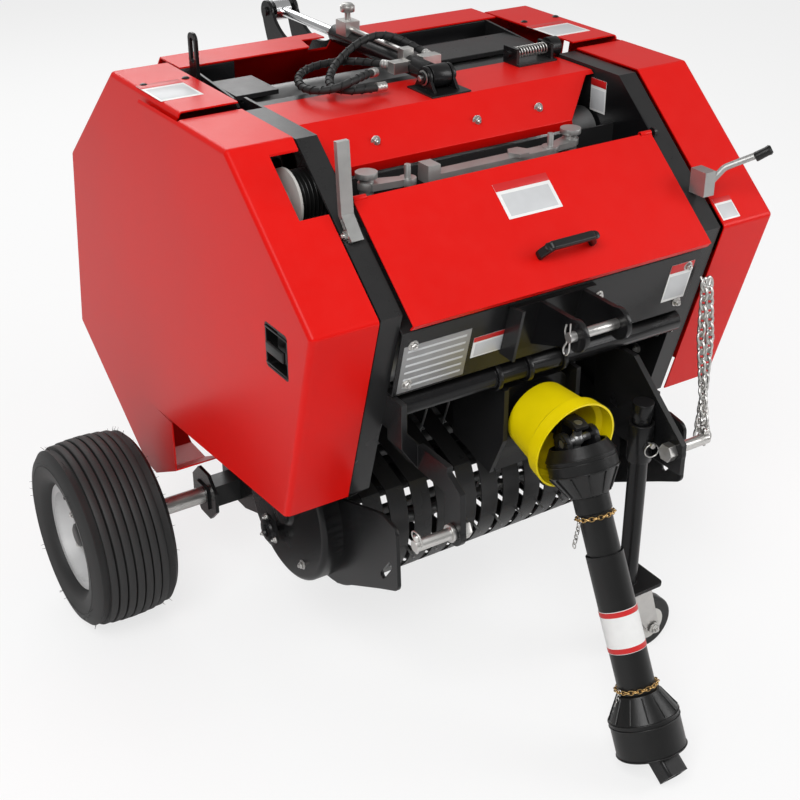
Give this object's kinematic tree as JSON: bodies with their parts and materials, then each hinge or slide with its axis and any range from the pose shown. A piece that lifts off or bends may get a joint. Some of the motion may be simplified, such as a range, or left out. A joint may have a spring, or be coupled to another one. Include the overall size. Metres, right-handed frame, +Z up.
{
  "type": "round baler",
  "caption": "Small towed round baler with a fixed roller chamber, tailgate lifted by a cylinder, tine pickup, drive shaft and jack.",
  "frame": {"origin": "centre of the bounding box's base, on the ground between the wheels", "axes": "+X to the viewer's right when facing the machine's front, -Y towards the tractor, +Z up"},
  "size_m": [1.5054, 1.557, 1.226],
  "materials": {
    "red_paint": "gloss",
    "black_paint": "satin",
    "grey_paint": "satin",
    "zinc": "satin",
    "steel": "satin",
    "chrome": "polished",
    "tyre": "matte",
    "rim_paint": "satin",
    "yellow_plastic": "satin",
    "black_plastic": "matte",
    "rubber": "matte",
    "white_plastic": "satin"
  },
  "bodies": {
    "frame": {"side_plate_left": "black_paint", "side_plate_right": "black_paint", "cover_hinges": "black_paint", "hood": "red_paint", "twine_trough": "black_paint", "cross_panels": "black_paint", "front_rollers": "steel", "drive_tube": "black_paint", "gearbox": "black_paint", "gearbox_beam": "black_paint", "input_yoke": "steel", "pto_guard": "yellow_plastic", "axle_beam": "black_paint", "stub_axles": "zinc", "pickup_bands": "black_paint", "pickup_frame": "black_paint", "pickup_drive_cover": "black_paint", "top_link_bracket": "black_paint", "hitch_pins": "zinc", "lower_links": "black_paint", "twine_gear": "zinc", "side_levers": "zinc", "twine_drum": "black_plastic", "drum_disc": "white_plastic", "hood_brackets": "black_paint"},
    "door_left": {"front_cover_left": "red_paint", "cover_latch_left": "black_plastic"},
    "door_right": {"front_cover_right": "red_paint", "cover_latch_right": "black_plastic"},
    "twine_lid": {"lid": "red_paint", "lid_handle": "black_plastic"},
    "tailgate": {"gate_plates": "black_paint", "gate_shell": "red_paint", "gate_deck": "black_paint", "gate_rollers": "steel", "lift_lugs": "black_paint", "rear_cover_left": "red_paint", "rear_cover_right": "red_paint"},
    "barrel": {"lift_barrel": "black_paint", "hydraulic_fittings": "zinc", "hose_1": "rubber", "hose_2": "rubber"},
    "rod": {"lift_rod": "chrome"},
    "wheel_left": {"rim_left": "rim_paint", "tyre_left": "tyre"},
    "wheel_right": {"rim_right": "rim_paint", "tyre_right": "tyre"},
    "reel": {"pickup_reel": "black_paint", "pickup_tines": "steel"},
    "cross": {"joint_cross": "steel"},
    "shaft_top": {"shaft_upper": "black_plastic", "shaft_yoke": "steel"},
    "shaft_bottom": {"shaft_lower": "black_plastic", "lower_yoke": "steel"},
    "cross_end": {"end_cross": "steel"},
    "yoke_end": {"end_yoke": "steel"},
    "jack": {"jack_leg": "black_paint"},
    "fork": {"caster_fork": "zinc"},
    "caster": {"caster_wheel": "black_plastic"}
  },
  "joints": [
    {"name": "wheel_left_spin", "type": "hinge", "parent": "frame", "child": "wheel_left", "pos_m": [-0.659, 0.333, 0.203], "axis": [1, 0, 0], "continuous": true},
    {"name": "wheel_right_spin", "type": "hinge", "parent": "frame", "child": "wheel_right", "pos_m": [0.659, 0.333, 0.203], "axis": [1, 0, 0], "continuous": true},
    {"name": "tailgate_lift", "type": "hinge", "parent": "frame", "child": "tailgate", "pos_m": [0, 0.033, 1.05], "axis": [1, 0, 0], "range_deg": [0, 55]},
    {"name": "cylinder_tilt", "type": "hinge", "parent": "frame", "child": "barrel", "pos_m": [0, 0.042, 1.157], "axis": [1, 0, 0], "range_deg": [0, 60.7]},
    {"name": "cylinder_stroke", "type": "slide", "parent": "barrel", "child": "rod", "axis": [0, 1, 0], "range_m": [-0.0814, 0]},
    {"name": "lid_hinge", "type": "hinge", "parent": "frame", "child": "twine_lid", "pos_m": [0, -0.199, 1.052], "axis": [-1, 0, 0], "range_deg": [0, 135]},
    {"name": "door_left_hinge", "type": "hinge", "parent": "frame", "child": "door_left", "pos_m": [-0.505, 0.33483, 0.75], "axis": [0, 0.1591, -0.9873], "range_deg": [0, 95]},
    {"name": "door_right_hinge", "type": "hinge", "parent": "frame", "child": "door_right", "pos_m": [0.505, 0.33483, 0.75], "axis": [0, -0.1591, 0.9873], "range_deg": [0, 95]},
    {"name": "pickup_spin", "type": "hinge", "parent": "frame", "child": "reel", "pos_m": [0, -0.027, 0.345], "axis": [1, 0, 0], "continuous": true},
    {"name": "shaft_swing", "type": "hinge", "parent": "frame", "child": "cross", "pos_m": [0, -0.431, 0.59], "axis": [0, 0, 1], "range_deg": [-20, 20]},
    {"name": "shaft_raise", "type": "hinge", "parent": "cross", "child": "shaft_top", "pos_m": [0, -0.431, 0.59], "axis": [-1, 0, 0], "range_deg": [0, 65]},
    {"name": "shaft_telescope", "type": "slide", "parent": "shaft_top", "child": "shaft_bottom", "axis": [0, -0.4493, -0.8934], "range_m": [-0.035, 0.1]},
    {"name": "yoke_swing", "type": "hinge", "parent": "shaft_bottom", "child": "cross_end", "pos_m": [0, -0.68801, 0.07899], "axis": [0, -0.8934, 0.4493], "range_deg": [-12, 12]},
    {"name": "yoke_pitch", "type": "hinge", "parent": "cross_end", "child": "yoke_end", "pos_m": [0, -0.68801, 0.07899], "axis": [1, 0, 0], "range_deg": [0, 45]},
    {"name": "jack_slide", "type": "slide", "parent": "frame", "child": "jack", "axis": [0, 0, 1], "range_m": [0, 0.1]},
    {"name": "caster_swivel", "type": "hinge", "parent": "jack", "child": "fork", "pos_m": [0.18, -0.409, 0.17], "axis": [0, 0, 1], "continuous": true},
    {"name": "caster_spin", "type": "hinge", "parent": "fork", "child": "caster", "pos_m": [0.237, -0.409, 0.06], "axis": [0, 1, 0], "continuous": true}
  ],
  "couplings": [
    {"joint": "cylinder_tilt", "follows": "tailgate_lift", "ratio": 1.1009},
    {"joint": "cylinder_stroke", "follows": "tailgate_lift", "m_per_rad": -0.0846}
  ]
}
